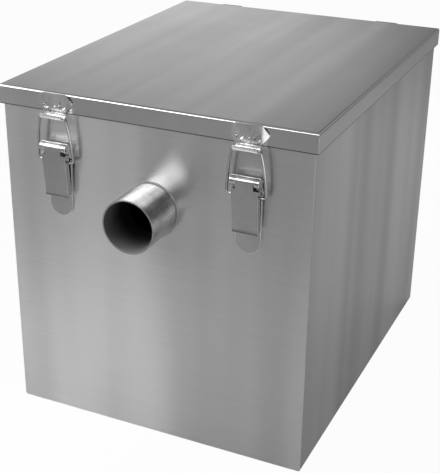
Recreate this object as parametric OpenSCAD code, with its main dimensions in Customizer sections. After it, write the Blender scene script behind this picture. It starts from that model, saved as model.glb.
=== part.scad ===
// Grease trap: a folded stainless steel tank with an inlet and an outlet pipe, a lift-off lid
// held down by draw latches, and a strainer basket and two baffles inside.
// Millimetres. The origin is the middle of the tank's underside, +Z is up and the inlet faces -Y.

/* [Tank] */
// Width across the inlet end
tank_width = 300; // [260:5:360]
// Length from the inlet end to the outlet end
tank_length = 375; // [350:5:480]
// Height of the rim above the ground
tank_height = 325; // [290:5:380]
// Thickness of the folded sheet
sheet = 1.2; // [1:0.1:1.6]
// Outside radius of the folds beside the floor
floor_fold = 2.5; // [2:0.1:4]
// Width of the rim turned in at the top
rim_width = 18; // [16:1:24]

/* [Lid] */
// Depth of the lid's skirt
skirt_depth = 18; // [16:1:20]
// Gap between the skirt and the tank
skirt_gap = 2; // [1.5:0.1:3]
// Outside radius of the lid's folds
lid_fold = 2.2; // [2:0.1:3.5]
// Thickness of the gasket on the rim
gasket_thickness = 4; // [3:0.5:6]
// Width of the gasket
gasket_width = 12; // [8:1:13]

/* [Pipes] */
// Outside diameter of both pipes
pipe_diameter = 50; // [40:1:56]
// Wall thickness of both pipes
pipe_wall = 1.5; // [1:0.1:2]
// Reach of a pipe outside the tank
pipe_reach = 44; // [30:1:60]
// Height of the rim above the inlet's axis
inlet_drop = 90; // [75:1:100]
// Height of the inlet's axis above the outlet's
outlet_step = 15; // [5:1:20]
// Width of the wall's edge under a pipe's end
pipe_seat = 1; // [0.6:0.1:1.5]

/* [Baffles] */
// Distance of the inlet baffle from the inlet end
inlet_baffle_at = 120; // [118:1:140]
// Distance of the outlet baffle from the outlet end
outlet_baffle_at = 70; // [50:1:90]
// Height of the passage under a baffle
baffle_passage = 60; // [40:1:80]
// Height of the rim above a baffle's top edge
baffle_drop = 40; // [30:1:60]
// Depth of the channels that hold a baffle
guide_depth = 12; // [8:1:16]
// Gap between a baffle and its channel
guide_gap = 0.4; // [0.2:0.1:0.6]

/* [Basket] */
// Length of the basket along the tank
basket_length = 88; // [70:1:90]
// Depth of the basket below its rim
basket_depth = 100; // [60:1:120]
// Drop of the basket's rim below the inlet pipe
basket_drop = 10; // [8:1:20]
// Thickness of the basket's sheet
basket_sheet = 1; // [0.8:0.1:1.2]
// Width of the basket's rim along the tank's sides
basket_hang = 12; // [8:1:14]
// Width of the basket's rim along its other edges
basket_lip = 6; // [4:1:7]
// Width of the ledges that carry the basket
ledge_width = 16; // [12:1:20]
// Gap between the basket and a ledge
ledge_gap = 2; // [1:0.5:3]
// Width of the shelf that carries the basket's floor
floor_shelf = 7; // [5:1:9]
// Diameter of the holes in the basket's floor
floor_hole = 6; // [4:0.5:7]
// Distance between the holes in the basket's floor
floor_pitch = 12; // [11:0.5:16]
// Diameter of the holes in the basket's sides
side_hole = 9; // [6:0.5:12]
// Distance between the holes in the basket's sides
side_pitch = 28; // [24:1:40]
// Diameter of the handle's wire
handle_wire = 5; // [4:0.5:6]
// Height of the handle's pivot above the basket's rim
handle_rise = 9; // [7:0.5:12]
// Radius of the handle's bends, to the middle of the wire
handle_bend = 7; // [5:0.5:10]

/* [Latch] */
// Distance of a latch from the tank's side
latch_inset = 57; // [46:1:70]
// Thickness of the keeper and the lever
latch_sheet = 1.2; // [1:0.1:1.5]
// Thickness of the latch's base
base_sheet = 1.5; // [1.2:0.1:2]
// Width of the lever and of the base
lever_width = 24; // [23:0.5:25]
// Length of the lever below its pivot
lever_length = 48; // [44:1:56]
// Length of the base below the pivot
base_length = 69; // [64:1:80]
// Outside radius of the hinge barrel
barrel_radius = 4.4; // [4.2:0.1:4.6]
// Width of the lever's part of the barrel
barrel_width = 16; // [14:0.5:17]
// Width of all three parts of the barrel
hinge_width = 27; // [26:0.2:27.6]
// Diameter of the pivot pin
pin_diameter = 5.4; // [5:0.1:5.8]
// Radial gap between the lever's barrel and the pin
pin_gap = 0.08; // [0.04:0.01:0.1]
// Radial gap between the base's barrels and the pin
pin_seat = 0.02; // [0.01:0.01:0.03]
// Clear space between the parts of the barrel
knuckle_gap = 0.35; // [0.3:0.05:0.6]
// Distance of the pivot inside the line of the seated bar
pivot_inset = 0.25; // [0.2:0.05:0.4]
// Depth of the notches beside the lever's barrel, below it
notch_below = 1.8; // [1.4:0.1:2.4]
// Gap between the lever's flanges and the base
flange_gap = 0.5; // [0.4:0.1:0.8]
// Height of the strap between the base's plate and its barrels
strap_rise = 7; // [6:0.5:8]
// Distance of the lever's tip from the tank
tip_height = 7.6; // [7:0.1:8.4]
// Length of the finger edge turned out at the lever's tip
finger_edge = 3; // [2:0.5:5]
// Angle of the finger edge
finger_angle = 24; // [10:1:35]

/* [Bail] */
// Diameter of the bail's wire
bail_wire = 2.5; // [2:0.1:2.8]
// Height of the bail's bar above the pivot
bar_above_pivot = 28.5; // [27:0.5:30]
// Drop of the bail's eyes below the pivot
eye_drop = 13.5; // [13:0.5:14.5]
// Distance of the eyes inside the pivot's line
over_centre = 1.8; // [1.2:0.1:2]
// Radius of the bail's upper bends, to the middle of the wire
bail_bend = 5; // [4.6:0.1:6]
// Radius of the bends at the bail's eyes, to the middle of the wire
eye_bend = 2.5; // [2:0.1:3]
// Radial gap between the wire and the lever's eyes
eye_gap = 0.08; // [0.04:0.01:0.1]
// Length of the bar's straight part past each side of the hook
bar_over = 1.8; // [0.4:0.2:2.4]
// Length of a bail's end inside the lever
eye_tail = 1; // [0.6:0.1:1.5]

/* [Keeper] */
// Width across the keeper's wings
keeper_width = 37.5; // [34:0.5:40]
// Width of the hook
hook_width = 21.6; // [20:0.2:22]
// Drop of the keeper's top below the lid's top
keeper_drop = 0.4; // [0.2:0.1:1]
// Distance of the keeper's upper corners from its wing tips
crown_inset = 6.5; // [5:0.5:8]
// Drop of the wing tips below the keeper's top
wing_drop = 8; // [6:0.5:9]
// Width of a wing that is bent back to the skirt
wing_bend = 7; // [6:0.5:7.5]
// Width of a wing's foot on the skirt
wing_foot = 1; // [0.6:0.1:2]
// Drop of the seated bar below the lid's top
bar_drop = 20.5; // [19:0.5:23]
// Half the clear width of the hook
hook_half = 3.2; // [3.1:0.1:3.6]
// Rise of the hook's lip above the middle of its curl
lip_rise = 1.2; // [0.8:0.1:1.6]
// Gap under the seated bar
bar_gap = 0.3; // [0.3:0.1:0.5]
// Height of the keeper's face above the skirt
keeper_raise = 1.2; // [0.8:0.1:1.6]
// Distance of a weld cup from the keeper's middle
cup_offset = 8; // [7.5:0.1:8.2]
// Drop of the weld cups below the lid's top
cup_drop = 11; // [10:0.5:12]
// Radius of a weld cup at its mouth
cup_radius = 3.6; // [3:0.1:4]
// Wall of a weld cup
cup_wall = 0.6; // [0.4:0.1:0.8]
// Radius of the dimple between the cups
dimple_radius = 1.5; // [1.2:0.1:1.8]
// Depth of the dimple between the cups
dimple_depth = 0.7; // [0.5:0.1:0.9]

/* [Hidden] */
$fn = 64;

// colours that tell the pieces apart on screen
sheet_colour = [0.72, 0.73, 0.74];
inside_colour = [0.62, 0.64, 0.66];
latch_colour = [0.85, 0.85, 0.86];
rubber_colour = [0.12, 0.12, 0.12];

// length by which a cutter passes the face that it cuts
over = 1;

// heights of the lid, the pipes, the baffles and the basket
lid_top = tank_height + gasket_thickness + sheet;
skirt_out = skirt_gap + sheet;
inlet_z = tank_height - inlet_drop;
outlet_z = inlet_z - outlet_step;
pipe_radius = pipe_diameter / 2;
baffle_top = tank_height - baffle_drop;
inner_half = tank_width / 2 - sheet;
basket_top = inlet_z - pipe_radius - basket_drop;
gasket_inset = (rim_width - gasket_width) / 2;

// plan of the basket, centred between the inlet wall and the inlet baffle
basket_width = 2 * (inner_half - ledge_width - ledge_gap);
basket_y = (sheet + inlet_baffle_at) / 2 - tank_length / 2;

// the handle's reach, the gap under it at rest, its droop, and the width of the ears that it turns in
handle_arm = basket_length / 2 + basket_lip / 2;
handle_rest = 0.3;
handle_droop = asin((handle_rise - handle_wire / 2 - handle_rest) / handle_arm);
ear_width = 16;

// gap round the basket's loose floor
floor_play = 0.3;

// latch, measured outwards from the tank's wall and upwards from the ground
latch_x = tank_width / 2 - latch_inset;
bar_z = lid_top - bar_drop;
pivot_z = bar_z - bar_above_pivot;
eye_z = pivot_z - eye_drop;
face_out = skirt_out + keeper_raise;
hook_out = face_out + latch_sheet + hook_half;
pivot_out = hook_out - pivot_inset;
eye_out = pivot_out - over_centre;
curl_z = bar_z + hook_half - bail_wire / 2 - bar_gap;
bail_length = norm([hook_out - eye_out, bar_z - eye_z]);
bail_lean = atan((hook_out - eye_out) / (bar_z - eye_z));
pin_radius = pin_diameter / 2;
face_step = 0.15;
face_set = barrel_radius - face_step;
lever_lean = atan((face_set + pivot_out - tip_height) / lever_length);
notch_depth = barrel_radius + notch_below;
flange_foot = base_sheet + flange_gap;

// middle of the barrel's wall, and the angles round it at which the base's strap runs in
barrel_mid = (barrel_radius + pin_radius) / 2;
strap_low = 246;
strap_high = 173;

// rounding of the keeper's crown, wing tips and neck, the height of that neck, and the hook's back
crown_round = 3.5;
wing_round = 2.4;
neck_round = 1.5;
neck_rise = 1;
hook_back = 4;

// the lever's flange: how far its neck lies inside the pivot's line, its step and drop at the heel,
// and its rounding at the toe and the shoulder
flange_neck = 1.6;
heel_step = 3;
heel_drop = 5;
toe_round = 1;
shoulder_round = 2;

// length by which joined parts of one sheet overlap
lap = 0.4;

// a point in the wall of the base's barrel, at an angle round the pivot
function on_barrel(angle) = [pivot_out + barrel_mid * cos(angle), pivot_z + barrel_mid * sin(angle)];

// a point on the lever: out from its pivot's line and down along its face
function on_lever(out, down) = [out * cos(lever_lean) - down * sin(lever_lean),
                                -out * sin(lever_lean) - down * cos(lever_lean)];

// the arc that rounds the corner b of the path a, b, c
function corner_arc(a, b, c, r, steps = 7) =
    let (u = (a - b) / norm(a - b),
         v = (c - b) / norm(c - b),
         half = acos(u * v) / 2,
         centre = b + (u + v) / norm(u + v) * r / sin(half),
         first = b + u * r / tan(half) - centre,
         last = b + v * r / tan(half) - centre,
         start = atan2(first[1], first[0]),
         turn = atan2(last[1], last[0]) - start,
         sweep = turn > 180 ? turn - 360 : turn < -180 ? turn + 360 : turn)
    [for (i = [0:steps]) centre + r * [cos(start + sweep * i / steps), sin(start + sweep * i / steps)]];

// the outline through corners given as [x, y, radius]
function rounded(corners) =
    let (n = len(corners))
    [for (i = [0:n - 1])
        let (a = corners[(i + n - 1) % n], b = corners[i], c = corners[(i + 1) % n])
        each b[2] > 0
            ? corner_arc([a[0], a[1]], [b[0], b[1]], [c[0], c[1]], b[2])
            : [[b[0], b[1]]]];

// moves a piece drawn at the wall line to the inlet end or to the outlet end
module at_end(outlet) {
    rotate([0, 0, outlet ? 180 : 0])
        translate([0, -tank_length / 2, 0])
            children();
}

// extrudes a side view (out from the wall, up) across the tank
module across(width) {
    rotate([90, 0, -90])
        linear_extrude(width, center = true)
            children();
}

// extrudes a front view (across, up) outwards from the wall
module outwards(thickness) {
    rotate([90, 0, 0])
        linear_extrude(thickness)
            children();
}

// a rectangle with its two upper corners rounded
module arch(span, rise, r) {
    translate([-span / 2, 0])
        square([span, rise - r]);
    translate([-span / 2 + r, 0])
        square([span - 2 * r, rise]);
    for (s = [-1, 1])
        translate([s * (span / 2 - r), rise - r])
            circle(r);
}

// the tank's cross-section, with its folds at the floor
module tank_section(inset) {
    translate([0, tank_height])
        mirror([0, 1])
            arch(tank_width - 2 * inset, tank_height - inset, floor_fold - inset);
}

// floor and two sides folded from one sheet, with the rim turned in
module tank_wrap() {
    color(sheet_colour)
        rotate([90, 0, 0])
            linear_extrude(tank_length - 2 * sheet, center = true) {
                difference() {
                    tank_section(0);
                    tank_section(sheet);
                }
                for (s = [-1, 1])
                    translate([s * (tank_width - rim_width) / 2, tank_height - sheet / 2])
                        square([rim_width, sheet], center = true);
            }
}

// end wall with its rim turned in and a hole under the pipe
module end_panel(outlet, axis_z) {
    color(sheet_colour)
        at_end(outlet)
            difference() {
                union() {
                    translate([0, sheet, 0])
                        outwards(sheet)
                            tank_section(0);
                    translate([rim_width - tank_width / 2, 0, tank_height - sheet])
                        cube([tank_width - 2 * rim_width, rim_width, sheet]);
                }
                translate([0, sheet + over, axis_z])
                    outwards(sheet + 2 * over)
                        circle(pipe_radius - min(pipe_seat, pipe_wall));
            }
}

// plain pipe welded over the hole in an end wall
module drain_pipe(outlet, axis_z) {
    color(sheet_colour)
        at_end(outlet)
            translate([0, 0, axis_z])
                outwards(pipe_reach)
                    difference() {
                        circle(pipe_radius);
                        circle(pipe_radius - pipe_wall);
                    }
}

// the lid's outside, or its inside at a depth below the surface
module lid_block(inset, tail) {
    span_x = tank_width + 2 * (skirt_out - inset);
    span_y = tank_length + 2 * (skirt_out - inset);
    rise = skirt_depth - inset + tail;
    translate([0, 0, lid_top - skirt_depth - tail])
        intersection() {
            rotate([90, 0, 0])
                linear_extrude(span_y, center = true)
                    arch(span_x, rise, lid_fold - inset);
            rotate([90, 0, 90])
                linear_extrude(span_x, center = true)
                    arch(span_y, rise, lid_fold - inset);
        }
}

// lid folded from one sheet, with welded corners
module lid() {
    color(sheet_colour)
        difference() {
            lid_block(0, 0);
            lid_block(sheet, over);
        }
}

// flat rubber frame between the rim and the lid
module lid_gasket() {
    color(rubber_colour)
        translate([0, 0, tank_height])
            linear_extrude(gasket_thickness)
                difference() {
                    square([tank_width - 2 * gasket_inset, tank_length - 2 * gasket_inset], center = true);
                    square([tank_width - 2 * gasket_inset - 2 * gasket_width,
                            tank_length - 2 * gasket_inset - 2 * gasket_width], center = true);
                }
}

// channel on a side wall, closed below, that holds one edge of a baffle
module baffle_guide(outlet, wall_at, side) {
    slot = sheet + 2 * guide_gap;
    floor_z = baffle_passage - sheet;
    color(inside_colour)
        at_end(outlet)
            translate([side * (inner_half - guide_depth / 2), wall_at, floor_z])
                difference() {
                    translate([-guide_depth / 2, -slot / 2 - sheet, 0])
                        cube([guide_depth, slot + 2 * sheet, baffle_top - floor_z]);
                    translate([-guide_depth / 2 - side * sheet, -slot / 2, sheet])
                        cube([guide_depth, slot, baffle_top - floor_z]);
                }
}

// plate that slides into two channels and stands on their feet
module baffle(outlet, wall_at) {
    width = 2 * (inner_half - sheet - guide_gap);
    color(inside_colour)
        at_end(outlet)
            translate([-width / 2, wall_at - sheet / 2, baffle_passage])
                cube([width, sheet, baffle_top - baffle_passage]);
}

// angle on a side wall that carries the basket
module basket_ledge(side) {
    top = basket_top - basket_sheet;
    color(inside_colour)
        translate([0, basket_y, 0])
            rotate([90, 0, 0])
                linear_extrude(basket_length, center = true) {
                    translate([side * (inner_half - ledge_width / 2), top - sheet / 2])
                        square([ledge_width, sheet], center = true);
                    translate([side * (inner_half - sheet / 2), top - ledge_width / 2])
                        square([sheet, ledge_width], center = true);
                }
}

// basket without its floor: walls, rim, shelf for the floor and two ears for the handle
module basket_body() {
    bottom = basket_top - basket_depth;
    columns = floor((basket_width - 2 * side_hole) / side_pitch / 2);
    color(inside_colour)
        translate([0, basket_y, 0])
            difference() {
                union() {
                    translate([-basket_width / 2, -basket_length / 2, bottom])
                        cube([basket_width, basket_length, basket_depth]);
                    translate([-basket_width / 2 - basket_hang, -basket_length / 2 - basket_lip,
                               basket_top - basket_sheet])
                        cube([basket_width + 2 * basket_hang, basket_length + 2 * basket_lip, basket_sheet]);
                    for (s = [-1, 1])
                        translate([s * (basket_width - basket_sheet) / 2, 0, basket_top - basket_sheet])
                            rotate([90, 0, 90])
                                linear_extrude(basket_sheet, center = true) {
                                    translate([-ear_width / 2, 0])
                                        square([ear_width, handle_rise + basket_sheet]);
                                    translate([0, handle_rise + basket_sheet])
                                        circle(ear_width / 2);
                                }
                }
                translate([-basket_width / 2 + basket_sheet, -basket_length / 2 + basket_sheet,
                           bottom + basket_sheet])
                    cube([basket_width - 2 * basket_sheet, basket_length - 2 * basket_sheet,
                          basket_depth + handle_rise + ear_width]);
                translate([-basket_width / 2 + floor_shelf, -basket_length / 2 + floor_shelf, bottom - over])
                    cube([basket_width - 2 * floor_shelf, basket_length - 2 * floor_shelf,
                          basket_sheet + 2 * over]);
                for (i = [-columns:columns], row = [1, 2])
                    translate([i * side_pitch, 0, bottom + row * basket_depth / 3])
                        rotate([90, 0, 0])
                            cylinder(h = basket_length + 2 * over, d = side_hole, center = true);
                translate([0, 0, basket_top + handle_rise])
                    rotate([0, 90, 0])
                        cylinder(h = basket_width + 2 * over, r = handle_wire / 2 + pin_gap, center = true);
            }
}

// perforated plate on the basket's shelf
module basket_floor() {
    size_x = basket_width - 2 * basket_sheet - 2 * floor_play;
    size_y = basket_length - 2 * basket_sheet - 2 * floor_play;
    columns = floor((size_x - 2 * floor_shelf - floor_pitch) / floor_pitch / 2);
    rows = floor((size_y - 2 * floor_shelf - floor_pitch) / floor_pitch / 2);
    color(inside_colour)
        translate([0, basket_y, basket_top - basket_depth + basket_sheet])
            linear_extrude(basket_sheet)
                difference() {
                    square([size_x, size_y], center = true);
                    for (i = [-columns:columns], j = [-rows:rows])
                        translate([i, j] * floor_pitch)
                            circle(d = floor_hole);
                }
}

// square bend in a round wire, from the +X axis to the +Y axis
module wire_bend(wire, bend) {
    rotate_extrude(angle = 90)
        translate([bend, 0])
            circle(d = wire);
}

// straight wire along +X
module wire_run(wire, length) {
    rotate([0, 90, 0])
        cylinder(h = length, d = wire);
}

// bent wire that turns in the basket's ears and lies on its rim
module basket_handle() {
    arm_x = basket_width / 2 - basket_sheet - handle_wire;
    color(inside_colour)
        translate([0, basket_y, basket_top + handle_rise])
            rotate([-handle_droop, 0, 0]) {
                translate([handle_bend - arm_x, handle_arm, 0])
                    wire_run(handle_wire, 2 * (arm_x - handle_bend));
                for (s = [0, 1])
                    mirror([s, 0, 0]) {
                        translate([arm_x - handle_bend, handle_arm - handle_bend, 0])
                            wire_bend(handle_wire, handle_bend);
                        translate([arm_x, 0, 0])
                            rotate([0, 0, 90])
                                wire_run(handle_wire, handle_arm - handle_bend);
                        translate([arm_x, 0, 0])
                            sphere(d = handle_wire);
                        translate([arm_x, 0, 0])
                            wire_run(handle_wire, 2 * handle_wire);
                    }
            }
}

// places a latch piece at one of the four latch positions
module at_latch(outlet, side) {
    at_end(outlet)
        translate([side * latch_x, 0, 0])
            children();
}

// front view of the keeper's wings
module keeper_outline() {
    tip = keeper_width / 2;
    crown = tip - crown_inset;
    neck = hook_width / 2;
    top = lid_top - keeper_drop;
    polygon(rounded([[-crown, top, crown_round], [crown, top, crown_round],
                     [tip, top - wing_drop, wing_round], [neck, curl_z + neck_rise, neck_round],
                     [neck, curl_z, 0], [-neck, curl_z, 0],
                     [-neck, curl_z + neck_rise, neck_round], [-tip, top - wing_drop, wing_round]]));
}

// plan of the keeper's plate: a raised middle and two wings bent back to the skirt
module keeper_plan() {
    tip = keeper_width / 2;
    inner = [[-tip, 0], [-tip + wing_foot, 0], [-tip + wing_bend, keeper_raise],
             [tip - wing_bend, keeper_raise], [tip - wing_foot, 0], [tip, 0]];
    polygon(concat([for (p = inner) [p[0], -skirt_out - p[1]]],
                   [for (i = [len(inner) - 1:-1:0])
                       [inner[i][0], -skirt_out - inner[i][1] - latch_sheet]]));
}

// side view of the hook that the bail's bar sits in
module hook_profile() {
    translate([face_out, curl_z])
        square([latch_sheet, hook_back]);
    translate([hook_out + hook_half, curl_z])
        square([latch_sheet, lip_rise]);
    difference() {
        translate([hook_out, curl_z])
            circle(hook_half + latch_sheet);
        translate([hook_out, curl_z])
            circle(hook_half);
        translate([hook_out - 2 * hook_half, curl_z])
            square([4 * hook_half, 2 * hook_half]);
    }
}

// winged plate welded to the lid through two cups, with a dimple between them and its lower end
// curled into a hook
module latch_keeper(outlet, side) {
    cup_foot = cup_radius - keeper_raise;
    color(latch_colour)
        at_latch(outlet, side) {
            difference() {
                union() {
                    intersection() {
                        linear_extrude(lid_top)
                            keeper_plan();
                        outwards(hook_out)
                            keeper_outline();
                    }
                    for (s = [-1, 1])
                        translate([s * cup_offset, -skirt_out, lid_top - cup_drop])
                            rotate([90, 0, 0])
                                cylinder(h = keeper_raise + latch_sheet / 2, r1 = cup_foot + cup_wall,
                                         r2 = cup_radius + cup_wall);
                }
                for (s = [-1, 1])
                    translate([s * cup_offset, -skirt_out - latch_sheet, lid_top - cup_drop])
                        rotate([90, 0, 0])
                            cylinder(h = 2 * keeper_raise, r1 = cup_foot, r2 = cup_radius + keeper_raise);
                translate([0, dimple_depth - face_out - latch_sheet, lid_top - cup_drop])
                    rotate([90, 0, 0])
                        cylinder(h = 2 * dimple_depth, r1 = dimple_radius - dimple_depth,
                                 r2 = dimple_radius + dimple_depth);
            }
            across(hook_width)
                hook_profile();
        }
}

// plate on the tank with a round end below and two barrels for the pin above
module latch_base(outlet, side) {
    knuckle = (hinge_width - barrel_width) / 2 - knuckle_gap;
    strap_z = pivot_z - barrel_radius - strap_rise;
    end_z = pivot_z - base_length;
    color(latch_colour)
        at_latch(outlet, side)
            difference() {
                union() {
                    outwards(base_sheet) {
                        translate([-lever_width / 2, end_z + lever_width / 2])
                            square([lever_width, strap_z - end_z - lever_width / 2]);
                        translate([0, end_z + lever_width / 2])
                            circle(d = lever_width);
                    }
                    for (s = [-1, 1])
                        translate([s * (hinge_width - knuckle) / 2, 0, 0])
                            across(knuckle) {
                                polygon([[0, strap_z - base_sheet], [base_sheet, strap_z - base_sheet],
                                         [base_sheet, strap_z], on_barrel(strap_low), on_barrel(strap_high),
                                         [0, strap_z + base_sheet]]);
                                translate([pivot_out, pivot_z])
                                    circle(barrel_radius);
                            }
                }
                across(hinge_width + 2 * over)
                    translate([pivot_out, pivot_z])
                        circle(pin_radius + pin_seat);
            }
}

// plain pin through the base's barrels and the lever's
module latch_pin(outlet, side) {
    color(latch_colour)
        at_latch(outlet, side)
            across(hinge_width)
                translate([pivot_out, pivot_z])
                    circle(pin_radius);
}

// side view of one of the lever's flanges, from the pivot
module flange_profile() {
    top = on_lever(face_set - latch_sheet / 2, notch_depth);
    tip = on_lever(face_set - latch_sheet / 2, lever_length - finger_edge);
    foot = flange_foot - pivot_out;
    polygon(rounded([[top[0], top[1], 0], [tip[0], tip[1], 0], [foot, tip[1], toe_round],
                     [foot + heel_step, -eye_drop - heel_drop, 0],
                     [-over_centre - bail_wire, -eye_drop + bail_wire, shoulder_round],
                     [-flange_neck, top[1], 0]]));
}

// channel-shaped lever: face, rolled barrel, two flanges with eyes, and a finger edge
module latch_lever(outlet, side) {
    edge = on_lever(face_set - latch_sheet, lever_length - finger_edge);
    color(latch_colour)
        at_latch(outlet, side)
            translate([0, -pivot_out, pivot_z])
                difference() {
                    union() {
                        across(barrel_width) {
                            circle(barrel_radius);
                            rotate(-lever_lean)
                                translate([face_set - latch_sheet, -notch_depth - lap])
                                    square([latch_sheet, notch_depth + lap]);
                        }
                        across(lever_width) {
                            rotate(-lever_lean)
                                translate([face_set - latch_sheet, finger_edge - lever_length])
                                    square([latch_sheet, lever_length - finger_edge - notch_depth]);
                            translate(edge)
                                rotate(finger_angle - lever_lean)
                                    translate([0, -finger_edge])
                                        square([latch_sheet, finger_edge + lap]);
                        }
                        for (s = [-1, 1])
                            translate([s * (lever_width - latch_sheet) / 2, 0, 0])
                                across(latch_sheet)
                                    flange_profile();
                    }
                    across(lever_width + 2 * over) {
                        circle(pin_radius + pin_gap);
                        translate([-over_centre, -eye_drop])
                            circle(bail_wire / 2 + eye_gap);
                    }
                }
}

// wire loop from the lever's eyes to the keeper's hook
module latch_bail(outlet, side) {
    bar_half = hook_width / 2 + bar_over;
    leg_x = bar_half + bail_bend;
    end_x = lever_width / 2 - latch_sheet - eye_tail;
    color(latch_colour)
        at_latch(outlet, side)
            translate([0, -eye_out, eye_z])
                rotate([90 + bail_lean, 0, 0]) {
                    translate([-bar_half, bail_length, 0])
                        wire_run(bail_wire, 2 * bar_half);
                    for (s = [0, 1])
                        mirror([s, 0, 0]) {
                            translate([bar_half, bail_length - bail_bend, 0])
                                wire_bend(bail_wire, bail_bend);
                            translate([leg_x, eye_bend, 0])
                                rotate([0, 0, 90])
                                    wire_run(bail_wire, bail_length - bail_bend - eye_bend);
                            translate([leg_x - eye_bend, eye_bend, 0])
                                rotate([0, 0, -90])
                                    wire_bend(bail_wire, eye_bend);
                            translate([end_x, 0, 0])
                                wire_run(bail_wire, leg_x - eye_bend - end_x);
                        }
                }
}

tank_wrap();
end_panel(false, inlet_z);  // inlet_panel
end_panel(true, outlet_z);  // outlet_panel
drain_pipe(false, inlet_z);  // inlet_pipe
drain_pipe(true, outlet_z);  // outlet_pipe
lid();
lid_gasket();
baffle_guide(false, inlet_baffle_at, -1);  // inlet_guide_left
baffle_guide(false, inlet_baffle_at, 1);  // inlet_guide_right
baffle_guide(true, outlet_baffle_at, 1);  // outlet_guide_left
baffle_guide(true, outlet_baffle_at, -1);  // outlet_guide_right
baffle(false, inlet_baffle_at);  // inlet_baffle
baffle(true, outlet_baffle_at);  // outlet_baffle
basket_ledge(-1);  // basket_ledge_left
basket_ledge(1);  // basket_ledge_right
basket_body();
basket_floor();
basket_handle();
latch_keeper(false, -1);  // inlet_left_keeper
latch_base(false, -1);  // inlet_left_base
latch_pin(false, -1);  // inlet_left_pin
latch_lever(false, -1);  // inlet_left_lever
latch_bail(false, -1);  // inlet_left_bail
latch_keeper(false, 1);  // inlet_right_keeper
latch_base(false, 1);  // inlet_right_base
latch_pin(false, 1);  // inlet_right_pin
latch_lever(false, 1);  // inlet_right_lever
latch_bail(false, 1);  // inlet_right_bail
latch_keeper(true, 1);  // outlet_left_keeper
latch_base(true, 1);  // outlet_left_base
latch_pin(true, 1);  // outlet_left_pin
latch_lever(true, 1);  // outlet_left_lever
latch_bail(true, 1);  // outlet_left_bail
latch_keeper(true, -1);  // outlet_right_keeper
latch_base(true, -1);  // outlet_right_base
latch_pin(true, -1);  // outlet_right_pin
latch_lever(true, -1);  // outlet_right_lever
latch_bail(true, -1);  // outlet_right_bail
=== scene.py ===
# %% [markdown]
# # A stainless steel grease trap
# A grease trap stands under a kitchen sink. Waste water runs in through one pipe, slows down in
# the tank so that the grease floats up, and leaves through the pipe at the other end. The box, the
# lid and the latches come from the CAD model, which is loaded here as a fixed frame in metres. This
# script gives every sheet, tube, pressing and wire the edges and the finish that the real one has.

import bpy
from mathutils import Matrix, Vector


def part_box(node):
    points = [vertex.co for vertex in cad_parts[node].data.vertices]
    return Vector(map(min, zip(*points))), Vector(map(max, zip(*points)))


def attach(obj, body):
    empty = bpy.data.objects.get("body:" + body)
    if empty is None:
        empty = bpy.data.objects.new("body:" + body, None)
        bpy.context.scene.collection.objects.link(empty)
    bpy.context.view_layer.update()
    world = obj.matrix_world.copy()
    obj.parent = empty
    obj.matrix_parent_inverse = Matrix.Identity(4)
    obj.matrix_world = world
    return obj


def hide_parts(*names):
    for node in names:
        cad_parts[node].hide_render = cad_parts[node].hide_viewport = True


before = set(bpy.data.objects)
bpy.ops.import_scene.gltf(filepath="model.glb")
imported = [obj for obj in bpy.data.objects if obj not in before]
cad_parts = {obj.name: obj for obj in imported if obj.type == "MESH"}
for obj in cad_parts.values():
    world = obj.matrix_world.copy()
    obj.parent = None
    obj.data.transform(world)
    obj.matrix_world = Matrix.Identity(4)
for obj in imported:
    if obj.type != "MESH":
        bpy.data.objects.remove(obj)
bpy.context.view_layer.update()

# %% [markdown]
# ## The camera
# The photograph was taken from above the lid and from the right of the inlet. A camera could be
# placed by eye, but then no edge quite meets its place in the picture. So the corners of the box
# were measured in the photograph, and a camera was turned until the model's corners fell in the
# same places. The lens is long, so the edges of the box converge only a little. The centre of the
# view lies a little left of the picture's middle and above it, because the picture was trimmed.

# %% Camera
import math
import bpy
from mathutils import Matrix, Vector

PHOTO_WIDE, PHOTO_HIGH = 440, 473
FOCAL_PIXELS = 1072.0
VIEW_CENTRE = (205.0, 228.0)
CAMERA_PLACE = Vector((0.4124, -0.9533, 0.6129))
YAW, PITCH, ROLL = (math.radians(a) for a in (-25.20, 24.50, 0.35))

ahead = Vector((math.sin(YAW) * math.cos(PITCH), math.cos(YAW) * math.cos(PITCH), -math.sin(PITCH)))
level = Vector((math.cos(YAW), -math.sin(YAW), 0))
upright = level.cross(ahead)
to_right = math.cos(ROLL) * level + math.sin(ROLL) * upright
to_top = math.cos(ROLL) * upright - math.sin(ROLL) * level

lens = bpy.data.cameras.new("photo_camera")
lens.sensor_fit = "VERTICAL"
lens.sensor_height = 36
lens.lens = FOCAL_PIXELS / PHOTO_HIGH * lens.sensor_height
lens.shift_x = (PHOTO_WIDE / 2 - VIEW_CENTRE[0]) / PHOTO_HIGH
lens.shift_y = (VIEW_CENTRE[1] - PHOTO_HIGH / 2) / PHOTO_HIGH
lens.clip_start = 0.01
camera = bpy.data.objects.new("photo_camera", lens)
camera.matrix_world = Matrix((to_right, to_top, -ahead)).transposed().to_4x4()
camera.location = CAMERA_PLACE
bpy.context.scene.collection.objects.link(camera)
bpy.context.scene.camera = camera
bpy.context.scene.view_settings.view_transform = "Standard"
print("lens %.1f mm, shift %.3f, %.3f" % (lens.lens, lens.shift_x, lens.shift_y))

# %% [markdown]
# ## Writing shaders as sums
# A finish is a small network of nodes. Wiring each Math node by hand hides the idea, so one class
# wraps a socket that carries a number, and its operators add the Math nodes: `0.3 + 0.1 * cloud`
# reads as it works. A second class holds one material and makes every other kind of node. Heights
# for the Bump node are always in millimetres here, so they can be compared with a ruler.

# %% A number that changes over a surface


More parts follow.
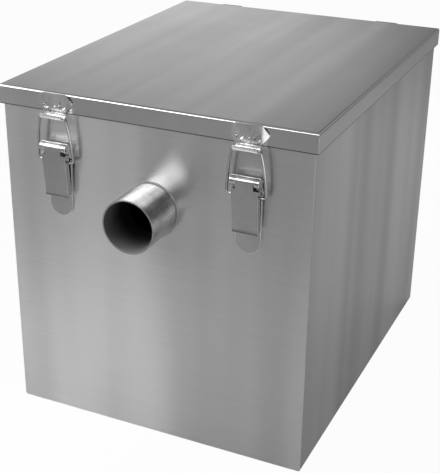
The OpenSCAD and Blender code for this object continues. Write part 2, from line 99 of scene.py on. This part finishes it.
class Field:
    """A number that changes over a surface: a socket whose sums become Math nodes."""

    def __init__(self, finish, socket):
        self.finish = finish
        self.socket = socket

    def __add__(self, other):
        return self.finish.math("ADD", self, other)

    def __sub__(self, other):
        return self.finish.math("SUBTRACT", self, other)

    def __mul__(self, other):
        return self.finish.math("MULTIPLY", self, other)

    def __pow__(self, other):
        return self.finish.math("POWER", self, other)

    def __rsub__(self, other):
        return self.finish.math("SUBTRACT", other, self)

    def __abs__(self):
        return self.finish.math("ABSOLUTE", self)

    __radd__ = __add__
    __rmul__ = __mul__


print("sums of fields ready")

# %% One material and its nodes


class Finish:
    """One material and the nodes that make it."""

    def __init__(self, name, owner=None):
        self.owner = owner or bpy.data.materials.new(name)
        self.owner.use_nodes = True
        self.tree = self.owner.node_tree
        self.tree.nodes.clear()

    def node(self, kind, settings=None, sockets=None, out=0):
        made = self.tree.nodes.new(kind)
        for name, value in (settings or {}).items():
            setattr(made, name, value)
        for name, value in (sockets or {}).items():
            if isinstance(value, Field):
                self.tree.links.new(value.socket, made.inputs[name])
            else:
                made.inputs[name].default_value = value
        return Field(self, made.outputs[out]) if len(made.outputs) else None

    def math(self, operation, a, b=0.0):
        return self.node("ShaderNodeMath", {"operation": operation}, {0: a, 1: b})

    def blend(self, share, first, second):
        # sockets 6 and 7 and output 2 are the Mix node's colours
        return self.node("ShaderNodeMix", {"data_type": "RGBA", "clamp_factor": True},
                         {0: share, 6: first, 7: second}, out=2)

    def place(self, per_metre=(1, 1, 1), shift=(0, 0, 0)):
        here = self.node("ShaderNodeTexCoord", out="Object")
        return self.node("ShaderNodeMapping", {},
                         {"Vector": here, "Location": shift, "Scale": per_metre})

    def axes(self, vector):
        return [self.node("ShaderNodeSeparateXYZ", {}, {0: vector}, out=i) for i in range(3)]

    def noise(self, per_metre, detail=2.0, rough=0.5, shift=(0, 0, 0)):
        return self.node("ShaderNodeTexNoise", {},
                         {"Vector": self.place(per_metre, shift), "Scale": 1.0,
                          "Detail": detail, "Roughness": rough})

    def range(self, value, low, high, to_low=0.0, to_high=1.0):
        return self.node("ShaderNodeMapRange",
                         {"clamp": True, "interpolation_type": "SMOOTHSTEP"},
                         {"Value": value, "From Min": low, "From Max": high,
                          "To Min": to_low, "To Max": to_high})

    def window(self, value, centre, inner, outer):
        return self.range(abs(value - centre), inner, outer, 1.0, 0.0)

    def metal(self, colour, rough, height_mm, metallic=1.0, **fixed):
        bump = self.node("ShaderNodeBump", {},
                         {"Height": height_mm, "Distance": 0.001, "Strength": 1.0})
        sockets = {"Base Color": colour, "Roughness": rough, "Metallic": metallic, "Normal": bump}
        sockets.update({name.replace("_", " "): value for name, value in fixed.items()})
        surface = self.node("ShaderNodeBsdfPrincipled", {}, sockets)
        self.node("ShaderNodeOutputMaterial", {}, {"Surface": surface})
        return self.owner


def grey(tone, warmth=0.0):
    return (tone * (1 + warmth), tone, tone * (1 - warmth), 1)


print("materials ready")

# %% [markdown]
# ## The floor
# The photograph shows the trap cut out on white. The floor is a plain pale sheet of paper. To the
# camera it is nearly white and keeps only a faint shadow. To the steel it is matt paper under the
# lamps, because a floor that is pure white in every mirror washes the walls out, so only a small
# share of the white goes into the mirrored floor.

# %% Floor
FLOOR_HALF = 4.0
FLOOR_DROP = 0.0002
WHITE_SEEN, WHITE_MIRRORED = 0.96, 0.03
corners = [(-FLOOR_HALF, -FLOOR_HALF), (FLOOR_HALF, -FLOOR_HALF), (FLOOR_HALF, FLOOR_HALF),
           (-FLOOR_HALF, FLOOR_HALF)]
floor_mesh = bpy.data.meshes.new("studio_floor")
floor_mesh.from_pydata([(x, y, -FLOOR_DROP) for x, y in corners], [], [(0, 1, 2, 3)])
floor = bpy.data.objects.new("studio_floor", floor_mesh)
bpy.context.scene.collection.objects.link(floor)

paper = Finish("studio_paper")
seen = paper.node("ShaderNodeLightPath", out="Is Camera Ray")
mirrored = paper.node("ShaderNodeLightPath", out="Is Glossy Ray")
through = paper.node("ShaderNodeLightPath", out="Is Transmission Ray")
white_share = WHITE_SEEN * seen + WHITE_MIRRORED * mirrored + WHITE_SEEN * through
speckle = paper.noise((90, 90, 90), detail=3)
paper_colour = paper.blend(speckle, grey(0.80), grey(0.84))
matt = paper.node("ShaderNodeBsdfDiffuse", {}, {"Color": paper_colour})
white = paper.node("ShaderNodeEmission", {}, {"Color": grey(1.0), "Strength": 1.0})
shown = paper.node("ShaderNodeMixShader", {}, {0: white_share, 1: matt, 2: white})
paper.node("ShaderNodeOutputMaterial", {}, {"Surface": shown})
floor_mesh.materials.append(paper.owner)
print("floor", 2 * FLOOR_HALF, "m square")

# %% [markdown]
# ## The room
# Metal has no colour of its own to show: it shows the room. A picture of a studio could be wrapped
# round the scene, but sums over the direction are easier to shift. The room is dim, with a bright
# ceiling. Behind the trap are a bright patch of wall on the left and a fainter glow on the right,
# which the lid mirrors in the photograph. The walls in front and at the sides are a little lighter,
# for the views from there. The camera itself sees plain white.

# %% Room
DIM, PATCH, GLOW, CEILING = 0.10, 0.80, 0.45, 0.34
LEFT, FRONT, SIDES = 0.05, 0.12, 0.18
world = bpy.data.worlds.new("studio_room")
bpy.context.scene.world = world
room = Finish("studio_room", world)
look_x, look_y, look_z = room.axes(room.node("ShaderNodeTexCoord", out="Generated"))
turn = room.math("ARCTAN2", look_x, look_y)
rise = room.math("ARCSINE", look_z)


def spot_on_wall(turn_degrees, rise_degrees):
    across = room.window(turn, *(math.radians(a) for a in turn_degrees))
    return across * room.window(rise, *(math.radians(a) for a in rise_degrees))


patch = spot_on_wall((-27, 3, 19), (4, 7, 22))
glow = spot_on_wall((23, 5, 25), (25, 8, 25))
ceiling = room.range(look_z, 0.55, 0.95)
leftward = room.range(look_x * -1.0, 0.0, 0.9)
off_floor = room.range(rise, math.radians(2), math.radians(12))
frontward = room.range(look_y * -1.0, 0.2, 0.9) * off_floor
sideward = room.range(abs(look_x), 0.6, 0.95) * off_floor
light_level = DIM + PATCH * patch + GLOW * glow + CEILING * ceiling
light_level = light_level + LEFT * leftward + FRONT * frontward + SIDES * sideward
seen = room.node("ShaderNodeLightPath", out="Is Camera Ray")
strength = seen + (1.0 - seen) * light_level
backdrop = room.node("ShaderNodeBackground", {}, {"Color": grey(1.0), "Strength": strength})
room.node("ShaderNodeOutputWorld", {}, {"Surface": backdrop})
print("room:", len(room.tree.nodes), "nodes")

# %% [markdown]
# ## The lamps
# Seen from above, an upright wall mirrors the floor in front of it. So seven lamps hang low, face
# down and light only the floor: each makes a soft pool, and the wall shows it as a soft gradient.
# They are hidden from mirrors, because steel would show them as hard rectangles. Key, fill, side
# and back lamps serve the photograph, and the rear, right and left ones serve the other walls. The
# other four are seen only in mirrors: a large softbox in front draws the strip on the pipe, and
# three cards light the fold of the lid, the wings of the keepers and the curls of the hooks.

# %% Floor lamps
POOL_LAMP = (0.25, 0.20)
FLOOR_LAMPS = {
    "key_softbox": ((-0.17, -0.33, 0.34), 0.77),
    "fill_softbox": ((-0.70, -0.95, 0.40), 0.34),
    "side_softbox": ((0.28, 0.14, 0.40), 0.10),
    "back_softbox": ((0.50, 0.80, 0.40), 0.22),
    "rear_softbox": ((-0.20, 0.70, 0.40), 0.80),
    "right_softbox": ((0.80, -0.05, 0.40), 0.46),
    "left_softbox": ((-0.85, -0.15, 0.40), 0.60),
}


def hang_lamp(name, spot, aim, size, watts, mirrored_only):
    lamp = bpy.data.lights.new(name, "AREA")
    lamp.shape = "RECTANGLE"
    lamp.size, lamp.size_y = size
    lamp.energy = watts
    stand = bpy.data.objects.new(name, lamp)
    stand.location = spot
    stand.rotation_euler = (Vector(aim) - Vector(spot)).to_track_quat("-Z", "Y").to_euler()
    stand.visible_camera = False
    stand.visible_diffuse = not mirrored_only
    stand.visible_glossy = mirrored_only
    bpy.context.scene.collection.objects.link(stand)
    print(name, watts, "W")


for name, (spot, watts) in FLOOR_LAMPS.items():
    hang_lamp(name, spot, (spot[0], spot[1], 0.0), POOL_LAMP, watts, mirrored_only=False)

# %% Mirrored lamps
MIRRORED_LAMPS = {
    "front_softbox": ((-0.26, -1.41, 1.11), (0.0, -0.19, 0.24), (1.27, 0.40), 8.5),
    "top_card": ((-0.27, -0.38, 0.50), (0.00, -0.20, 0.30), (0.60, 0.20), 0.6),
    "right_card": ((0.50, -0.76, 0.11), (0.05, -0.20, 0.31), (0.85, 0.20), 0.80),
    "hook_card": ((-0.72, -1.10, 0.72), (-0.09, -0.20, 0.31), (0.36, 0.55), 2.0),
}
for name, settings in MIRRORED_LAMPS.items():
    hang_lamp(name, *settings, mirrored_only=True)

# %% [markdown]
# ## Brushed sheet
# The tank and the lid are stainless sheet with a belt-brushed face: thousands of scratches along
# the sheet, each far finer than a hair. They spread a reflection across the grain and hardly along
# it, which the shader's Anisotropic socket does for the walls. Noise that is stretched along the
# grain gives the scratches their height and their shade. Thin sheet is never quite flat after
# folding and welding, so a slow noise with tall bands bends the face. The same bands go into the
# colour as painted reflection: soft upright bands of lighter and darker steel, shifted until they
# fall about where the photograph has them. The lowest millimetre of the lid's skirt is darkened as
# painted shade for the shaded gap under it. An image of brushed steel would repeat and show its
# seams.

# %% Brushed sheet finish
SCRATCH_ALONG, SCRATCH_ACROSS = 24, 3600
STREAK_ALONG, STREAK_ACROSS = 7, 900
BAND_ALONG, BAND_ACROSS = 1.3, 17
SMEAR, SMEAR_SHIFT = (16, 16, 9), (3.1, 1.7, 0.4)
GRAIN_TURN = 0.25
# share of the lid's tone kept in the painted shade along the skirt's lower edge
PAINTED_EDGE_SHADE_TONE = 0.22


def stretched(axes, along, across):
    return tuple(along if axis in axes else across for axis in "xyz")


def brushed_sheet(name, grain, bands, tone, contrast, rough_base, spread, wave_and_reflection_band_shift=(0, 0, 0),
                  painted_shade_edge=None):
    steel = Finish(name)
    scratch = steel.noise(stretched(grain, SCRATCH_ALONG, SCRATCH_ACROSS), detail=3, rough=0.6)
    streak = steel.noise(stretched(grain, STREAK_ALONG, STREAK_ACROSS), detail=2)
    band = steel.noise(stretched(bands, BAND_ALONG, BAND_ACROSS), detail=1.5, shift=wave_and_reflection_band_shift)
    smear = steel.noise(SMEAR, detail=3, rough=0.6, shift=SMEAR_SHIFT)
    # the band noise in the colour is painted reflection: soft upright bands of lighter and darker
    # steel
    shade = 0.05 + 0.18 * scratch + 0.06 * streak + 0.66 * band
    colour = steel.blend(steel.range(shade, 0.32, 0.68), grey(tone * (1 - contrast), -0.004),
                         grey(tone * (1 + contrast)))
    # painted shade: the lowest millimetre of the lid's skirt is darkened where the gap below it
    # lies in shadow
    if painted_shade_edge:
        height = steel.axes(steel.place())[2]
        colour = steel.blend(steel.range(height, *painted_shade_edge), grey(tone * PAINTED_EDGE_SHADE_TONE), colour)
    rough = rough_base + 0.03 * streak + 0.06 * smear
    height_mm = 0.012 * scratch + 0.003 * streak + 1.1 * band
    return steel.metal(colour, rough, height_mm, Anisotropic=spread,
                       Anisotropic_Rotation=GRAIN_TURN)


lid_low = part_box("lid")[0].z
# the band shift places the painted reflection bands on the walls
WALL_STEEL = brushed_sheet("wall_steel", "xy", "z", tone=0.55, contrast=0.20, rough_base=0.25,
                           spread=0.6, wave_and_reflection_band_shift=(0.0, 6.5, 8.1))
LID_STEEL = brushed_sheet("lid_steel", "x", "yz", tone=0.54, contrast=0.12, rough_base=0.17,
                          spread=0.0, painted_shade_edge=(lid_low + 0.0006, lid_low + 0.0012))
print("brushed sheet:", WALL_STEEL.name, LID_STEEL.name)

# %% [markdown]
# ## Drawn tube
# The pipe stubs are drawn tube: smoother than the sheet outside, with faint draw lines along the
# tube and cloudy marks from handling. Inside they are dull, and a painted shade darkens them the
# deeper one looks. Two materials on two sets of faces would do, but the distance from the tube's
# axis already tells the inside from the outside, so one material holds both and each pipe passes
# in its own axis.

# %% Tube finish
TUBE_WALL = 0.0015
PAINTED_SHADE_DEPTHS = (0.002, 0.034)


def drawn_tube(name, axis_height, mouth, inner, outer):
    steel = Finish(name)
    line = steel.noise((900, 14, 900), detail=3, rough=0.6)
    patch = steel.noise((60, 42, 60), detail=4, rough=0.65)
    cloud = steel.noise((22, 15, 22), detail=2)
    x, y, z = steel.axes(steel.place(shift=(0, -mouth, -axis_height)))
    radius = (x * x + z * z) ** 0.5
    wall = outer - inner
    outside = steel.range(radius, inner + 0.75 * wall, inner + 0.95 * wall)
    shade = steel.range(0.30 * line + 0.45 * patch + 0.25 * cloud, 0.34, 0.66)
    bright = steel.blend(shade, grey(0.26), grey(0.68))
    # painted shade: the inside darkens from grey 0.25 at the mouth to 0.03 further in
    dull_inside_with_painted_shade = steel.blend(steel.range(abs(y), *PAINTED_SHADE_DEPTHS), grey(0.25), grey(0.03))
    colour = steel.blend(outside, dull_inside_with_painted_shade, bright)
    rough = 0.50 - outside * 0.36 + 0.10 * patch + 0.04 * line
    return steel.metal(colour, rough, 0.006 * line + 0.110 * patch, 0.3 + 0.7 * outside)


TUBES = {}
for end in ("inlet", "outlet"):
    low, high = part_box(end + "_pipe")
    outer = (high.x - low.x) / 2
    mouth = low.y if end == "inlet" else high.y
    TUBES[end] = drawn_tube(end + "_tube_steel", (low.z + high.z) / 2, mouth, outer - TUBE_WALL,
                            outer)
print("tube finishes:", len(TUBES))

# %% [markdown]
# ## Pressings and wire
# The latch pressings and wires are tumbled until they shine, which leaves a fine scratch and a few
# clouds. The keeper's plate bulges a little between its welds, so a shallow dome goes into its
# bump height. In the hook under the wire and round the lever's barrel, a band of brighter grey is a
# painted highlight, and the edges take a brighter finish of their own as a painted highlight too.
# One function makes all of these, and the painted highlight bands are told apart by height, so
# that no extra faces are needed.

# %% Pressing and wire finish


def tumbled(name, tone, rough_base, contrast=0.06, dome=None, painted_highlight_band=None):
    steel = Finish(name)
    scratch = steel.noise((1500, 1500, 400), detail=3, rough=0.6)
    cloud = steel.noise((90, 90, 60), detail=2)
    shade = steel.range(0.5 * scratch + 0.5 * cloud, 0.3, 0.7)
    colour = steel.blend(shade, grey(tone * (1 - contrast)), grey(tone * (1 + contrast)))
    # painted highlight: a band by height, on the hook or round the barrel, is blended to a brighter
    # grey
    if painted_highlight_band:
        start, full, bright = painted_highlight_band
        height = steel.axes(steel.place())[2]
        colour = steel.blend(steel.range(height, start, full), colour, grey(bright))
    height_mm = 0.002 * scratch + 0.004 * cloud
    if dome:
        middle, bulge = dome
        away = abs(steel.axes(steel.place())[0]) - middle
        height_mm = height_mm - bulge * away * away
    return steel.metal(colour, rough_base + 0.06 * scratch + 0.05 * cloud, height_mm)


print("tumbled finish ready")

# %% Finishes of the latch
KEEPER_BULGE = 6500.0
# heights and tones of the painted highlight bands on the hook and the barrel
HOOK_TOP, HOOK_FULL, HOOK_HIGHLIGHT_TONE = 0.0060, 0.0052, 0.92
BARREL_START, BARREL_FULL, BARREL_HIGHLIGHT_TONE = -0.0002, 0.0012, 0.70
low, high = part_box("inlet_right_keeper")
KEEPER_STEEL = tumbled("keeper_steel", 0.60, 0.15, contrast=0.28,
                       dome=((low.x + high.x) / 2, KEEPER_BULGE),
                       painted_highlight_band=(low.z + HOOK_TOP, low.z + HOOK_FULL, HOOK_HIGHLIGHT_TONE))
low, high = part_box("inlet_right_pin")
pivot_z = (low.z + high.z) / 2
LEVER_STEEL = tumbled("lever_steel", 0.37, 0.17,
                      painted_highlight_band=(pivot_z + BARREL_START, pivot_z + BARREL_FULL, BARREL_HIGHLIGHT_TONE))
# painted highlight: a brighter finish for the bevels of the latch bases and levers
EDGE_HIGHLIGHT_STEEL = tumbled("edge_highlight_steel", 0.90, 0.22)
PRESSED_STEEL = tumbled("pressed_steel", 0.45, 0.17)
WIRE_STEEL = tumbled("wire_steel", 0.50, 0.12)
print("bright finishes:", PRESSED_STEEL.name, WIRE_STEEL.name)

# %% [markdown]
# ## Mill sheet and rubber
# The pieces inside the tank are never polished, so they keep the dull grey of the mill: an even
# grain and a few wide clouds. A weld bead is the same metal, a little darker and rougher. The
# gasket is black rubber with the grey bloom that rubber gets with age.

# %% Mill sheet and rubber finishes


def mill_sheet(name, tone, rough_base):
    steel = Finish(name)
    grain = steel.noise((420, 420, 420), detail=4, rough=0.6)
    cloud = steel.noise((14, 14, 14), detail=2)
    shade = steel.range(0.5 * grain + 0.5 * cloud, 0.3, 0.7)
    colour = steel.blend(shade, grey(tone * 0.9), grey(tone * 1.1))
    return steel.metal(colour, rough_base + 0.12 * cloud, 0.010 * grain)


def moulded_rubber(name):
    rubber = Finish(name)
    grain = rubber.noise((900, 900, 900), detail=3)
    bloom = rubber.noise((40, 40, 40), detail=2)
    colour = rubber.blend(bloom, grey(0.020), grey(0.045))
    return rubber.metal(colour, 0.62 + 0.2 * grain, 0.04 * grain, metallic=0.0)


MILL_STEEL = mill_sheet("mill_steel", 0.47, 0.36)
WELD_STEEL = mill_sheet("weld_steel", 0.40, 0.42)
RUBBER = moulded_rubber("gasket_rubber")
print("finishes:", len(bpy.data.materials))

# %% [markdown]
# ## Edges that catch the light
# No cut or folded edge is perfectly sharp, and on steel the small rounding is what shows: it
# mirrors the ceiling as a thin bright line. The CAD solids have sharp cut edges, so each one that
# shows is copied, its loose triangles are merged, flat areas become single faces, and a narrow
# bevel runs along the sharp edges. The two long folds of a latch lever are bent sheet, so their
# rounding is wider. On the latch bases and levers the bevel takes a brighter finish, a painted
# highlight along the edges. Weighted normals keep the flats flat. The copy stands exactly where
# its solid is and replaces it.

# %% Helpers for meshes


def plain_mesh(piece):
    given = piece.data
    made = piece.evaluated_get(bpy.context.evaluated_depsgraph_get())
    plain = bpy.data.meshes.new_from_object(made)
    piece.modifiers.clear()
    piece.data = plain
    bpy.data.meshes.remove(given)
    plain.name = piece.name


FACING = 0.9
SHORTEST_FOLD = 0.02


def is_fold(edge):
    ways = [face.normal for face in edge.link_faces]
    outward = any(way.y * edge.verts[0].co.y > 0 and abs(way.y) > FACING for way in ways)
    sideways = any(abs(way.x) > FACING for way in ways)
    return outward and sideways and edge.calc_length() > SHORTEST_FOLD


print("mesh helpers ready")

# %% Helper for softened copies
import bmesh

SAME_PLACE = 2e-6
SHARP = math.radians(32)
FLAT = math.radians(0.6)
EDGE_STEPS, FOLD_STEPS = 2, 4


def weighted_copy(node, edge_mm, fold_mm):
    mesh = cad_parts[node].data.copy()
    shape = bmesh.new()
    shape.from_mesh(mesh)
    bmesh.ops.remove_doubles(shape, verts=shape.verts, dist=SAME_PLACE)
    bmesh.ops.dissolve_limit(shape, angle_limit=FLAT, verts=shape.verts, edges=shape.edges)
    share = shape.edges.layers.float.new("bevel_weight_edge")
    for edge in shape.edges:
        if len(edge.link_faces) == 2 and edge.calc_face_angle() > SHARP:
            width = fold_mm if fold_mm and is_fold(edge) else edge_mm
            edge[share] = width / max(edge_mm, fold_mm)
    shape.to_mesh(mesh)
    shape.free()
    return mesh


def softened(node, body, finish, edge_mm, fold_mm=0.0, edge_highlight=None):
    mesh = weighted_copy(node, edge_mm, fold_mm)
    mesh.materials.clear()
    for layer in (finish, edge_highlight or finish):
        mesh.materials.append(layer)
    mesh.shade_smooth()
    piece = bpy.data.objects.new(node + "_piece", mesh)
    bpy.context.scene.collection.objects.link(piece)
    bevel = piece.modifiers.new("edge", "BEVEL")
    bevel.width = max(edge_mm, fold_mm) * 0.001
    bevel.segments = FOLD_STEPS if fold_mm else EDGE_STEPS
    bevel.limit_method = "WEIGHT"
    bevel.loop_slide = False
    # the bevel faces take the second material, which is a painted highlight where one is given
    bevel.material = 1
    even = piece.modifiers.new("flats", "WEIGHTED_NORMAL")
    even.keep_sharp = True
    plain_mesh(piece)
    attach(piece, body)
    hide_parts(node)
    print(piece.name, len(piece.data.polygons), "faces")


print("edges sharper than", round(math.degrees(SHARP)), "degrees get a bevel")

# %% [markdown]
# ## Tank and lid
# The tank is one sheet folded to a floor and two sides, with an end panel welded in at each end.
# The lid is a folded sheet with a skirt. Their shapes are exact in the CAD model already, so they
# only need softened edges and the brushed finish. The lid's edge is a little finer than the walls'.

# %% Tank and lid
for node in ("tank_wrap", "inlet_panel", "outlet_panel"):
    softened(node, "tank", WALL_STEEL, edge_mm=0.35)
softened("lid", "tank", LID_STEEL, edge_mm=0.30)

# %% [markdown]
# ## Pipes
# A stub is cut from tube and its mouth is deburred, which leaves a small rounding at both rims. The
# same softened copy does this, with the finish that was made for that pipe's own axis.

# %% Pipes
for end, finish in TUBES.items():
    softened(end + "_pipe", "tank", finish, edge_mm=0.25)

# %% [markdown]
# ## Latches
# A draw latch has a keeper on the lid, a base with two barrels on the wall, a pin through them and
# a lever that turns on the pin. Each is pressed from sheet, and its edges are rounded by the
# tumbling drum. The edges of the base and the lever take a brighter finish, a painted highlight.
# The lever rides on its own body, because it moves.

# %% Latches
LATCHES = [end + "_" + side for end in ("inlet", "outlet") for side in ("left", "right")]
for latch in LATCHES:
    softened(latch + "_keeper", "tank", KEEPER_STEEL, edge_mm=0.30)
    softened(latch + "_base", "tank", PRESSED_STEEL, edge_mm=0.45, edge_highlight=EDGE_HIGHLIGHT_STEEL)
    softened(latch + "_pin", "tank", PRESSED_STEEL, edge_mm=0.20)
    softened(latch + "_lever", latch + "_lever", LEVER_STEEL, edge_mm=0.20,
             fold_mm=1.0, edge_highlight=EDGE_HIGHLIGHT_STEEL)

# %% [markdown]
# ## Pieces inside
# The baffles, their channels, the basket and the gasket lie inside the closed tank. They show only
# when the lid is off, so the CAD solids stay as they are and only take their finish.

# %% Pieces inside
INSIDE_WORDS = ("guide", "baffle", "basket")
INSIDE = [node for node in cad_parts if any(word in node for word in INSIDE_WORDS)]
for node in INSIDE + ["lid_gasket"]:
    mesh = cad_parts[node].data
    mesh.materials.clear()
    mesh.materials.append(RUBBER if node == "lid_gasket" else MILL_STEEL)
print("inside pieces:", len(INSIDE) + 1)

# %% [markdown]
# ## Trees that make geometry
# A bail is wire bent along a path, and a weld is a row of small overlapping beads round a circle.
# Both repeat or follow something, so Geometry Nodes make them. The helper below builds a tree with
# named inputs, ends it with Realize Instances and Set Material, and turns its result into a plain
# mesh.

# %% Geometry helper


class Maker:
    """One Geometry Nodes tree."""

    def __init__(self, name, inputs):
        self.tree = bpy.data.node_groups.new(name, "GeometryNodeTree")
        self.keys = {}
        sockets = self.tree.interface
        for label, kind, value in inputs:
            socket = sockets.new_socket(label, in_out="INPUT", socket_type="NodeSocket" + kind)
            self.keys[label] = socket.identifier
            if value is not None:
                socket.default_value = value
        sockets.new_socket("Made", in_out="OUTPUT", socket_type="NodeSocketGeometry")
        self.given = self.tree.nodes.new("NodeGroupInput").outputs

    def node(self, kind, settings=None, sockets=None):
        made = self.tree.nodes.new(kind)
        for name, value in (settings or {}).items():
            setattr(made, name, value)
        for name, value in (sockets or {}).items():
            if isinstance(value, bpy.types.NodeSocket):
                self.tree.links.new(value, made.inputs[name])
            else:
                made.inputs[name].default_value = value
        return made.outputs

    def close(self, geometry, finish):
        smooth = self.node("GeometryNodeSetShadeSmooth", {}, {"Geometry": geometry})
        real = self.node("GeometryNodeRealizeInstances", {}, {"Geometry": smooth[0]})
        paint = self.node("GeometryNodeSetMaterial", {}, {"Geometry": real[0], "Material": finish})
        self.node("NodeGroupOutput", {}, {"Made": paint[0]})

    def piece(self, name, mesh, values):
        made = bpy.data.objects.new(name, mesh)
        bpy.context.scene.collection.objects.link(made)
        modifier = made.modifiers.new("maker", "NODES")
        modifier.node_group = self.tree
        for label, value in values.items():
            modifier[self.keys[label]] = value
        plain_mesh(made)
        print(name, len(made.data.polygons), "faces")
        return made


print("geometry helper ready")

# %% [markdown]
# ## The wire bails
# A bail is one length of spring wire: a straight bar that sits in the keeper's hook, two legs that
# spread downwards with a slight waist, and ends that turn in to the lever's eyes. The CAD model has
# straight legs, because exact sweeps of sloping wire fail there. Here the corner points go in as a
# line, Fillet Curve bends it at each corner by that corner's own radius, and Curve to Mesh sweeps a
# circle along it.

# %% Wire tree
WIRE = 0.0025
wire = Maker("bent_wire", [("Path", "Geometry", None), ("Wire diameter", "Float", WIRE),
                           ("Points in a bend", "Int", 8), ("Sides", "Int", 14)])
line = wire.node("GeometryNodeMeshToCurve", {}, {"Mesh": wire.given["Path"]})
bend = wire.node("GeometryNodeInputNamedAttribute", {"data_type": "FLOAT"}, {"Name": "bend"})
bent = wire.node("GeometryNodeFilletCurve", {"mode": "POLY"},
                 {"Curve": line[0], "Radius": bend[0], "Count": wire.given["Points in a bend"]})
half = wire.node("ShaderNodeMath", {"operation": "MULTIPLY"},
                 {0: wire.given["Wire diameter"], 1: 0.5})
ring = wire.node("GeometryNodeCurvePrimitiveCircle", {},
                 {"Resolution": wire.given["Sides"], "Radius": half[0]})
swept = wire.node("GeometryNodeCurveToMesh", {},
                  {"Curve": bent[0], "Profile Curve": ring[0], "Fill Caps": True})
wire.close(swept[0], WIRE_STEEL)
print("wire tree:", len(wire.tree.nodes), "nodes")

# %% Bails
EYE_HALF = 0.0098
TOP_IN, WAIST_IN, FOOT_OUT = 0.0046, 0.0014, 0.0006
WAIST_SHARE = 0.60
SIDE_BENDS = [0, 0.003, 0.15, 0.0031]


def bail_points(latch):
    low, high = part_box(latch + "_bail")
    middle = (low.x + high.x) / 2
    leg = (high.x - low.x - WIRE) / 2
    outward = -1 if latch.startswith("inlet") else 1
    near, far = (high.y, low.y) if outward < 0 else (low.y, high.y)
    eye = (near + outward * WIRE / 2, low.z + WIRE / 2)
    bar = (far - outward * WIRE / 2, high.z - WIRE / 2)
    waist = tuple(a + WAIST_SHARE * (b - a) for a, b in zip(eye, bar))
    side = [(-EYE_HALF, eye), (-leg - FOOT_OUT, eye), (-leg + WAIST_IN, waist),
            (-leg + TOP_IN, bar)]
    left = [(middle + x, *at) for x, at in side]
    return left + [(middle - x, *at) for x, at in reversed(side)]


for latch in LATCHES:
    points = bail_points(latch)
    path = bpy.data.meshes.new(latch + "_path")
    path.from_pydata(points, [(i, i + 1) for i in range(len(points) - 1)], [])
    bends = path.attributes.new("bend", "FLOAT", "POINT")
    bends.data.foreach_set("value", SIDE_BENDS + SIDE_BENDS[::-1])
    bail = wire.piece(latch + "_bail_wire", path, {"Wire diameter": WIRE})
    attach(bail, latch + "_bail")
    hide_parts(latch + "_bail")

# %% [markdown]
# ## The pipe welds
# Each pipe stub is welded to its wall. The welder adds metal drop by drop, and each drop freezes as
# a small ripple over the one before. A smooth ring would look moulded. So the tree sets flattened
# balls round a circle, turned along it, with a small random change in size, and half of each ball
# sinks into the wall and the pipe.

# %% Weld tree
RING_POINTS = 160
BEAD_SWELL = (0.90, 1.12)
weld = Maker("weld_bead", [("Centre", "Vector", (0, 0, 0)), ("Ring radius", "Float", 0.025),
                           ("Beads", "Int", 100), ("Bead size", "Vector", (0.001, 0.001, 0.001)),
                           ("Seed", "Int", 3)])
ring = weld.node("GeometryNodeCurvePrimitiveCircle", {},
                 {"Resolution": RING_POINTS, "Radius": weld.given["Ring radius"]})
spots = weld.node("GeometryNodeCurveToPoints", {"mode": "COUNT"},
                  {"Curve": ring[0], "Count": weld.given["Beads"]})
ball = weld.node("GeometryNodeMeshIcoSphere", {}, {"Radius": 1.0, "Subdivisions": 2})
swell = weld.node("FunctionNodeRandomValue", {"data_type": "FLOAT"},
                  {2: BEAD_SWELL[0], 3: BEAD_SWELL[1], "Seed": weld.given["Seed"]})
size = weld.node("ShaderNodeVectorMath", {"operation": "SCALE"},
                 {0: weld.given["Bead size"], "Scale": swell[1]})
beads = weld.node("GeometryNodeInstanceOnPoints", {},
                  {"Points": spots["Points"], "Instance": ball[0],
                   "Rotation": spots["Rotation"], "Scale": size[0]})
stood = weld.node("GeometryNodeTransform", {},
                  {"Geometry": beads[0], "Translation": weld.given["Centre"],
                   "Rotation": (math.radians(90), 0, 0)})
weld.close(stood[0], WELD_STEEL)
print("weld tree:", len(weld.tree.nodes), "nodes")

# %% Welds
BEAD_OUT = 0.0003
BEAD_COUNT, BEAD_SEED = 170, 3
BEAD_SIZE = (0.0011, 0.0007, 0.0007)
for end in ("inlet", "outlet"):
    low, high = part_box(end + "_pipe")
    wall = high.y if end == "inlet" else low.y
    values = {"Centre": ((low.x + high.x) / 2, wall, (low.z + high.z) / 2),
              "Ring radius": (high.x - low.x) / 2 + BEAD_OUT, "Beads": BEAD_COUNT,
              "Bead size": BEAD_SIZE, "Seed": BEAD_SEED}
    seam = weld.piece(end + "_weld", bpy.data.meshes.new(end + "_ring"), values)
    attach(seam, "tank")
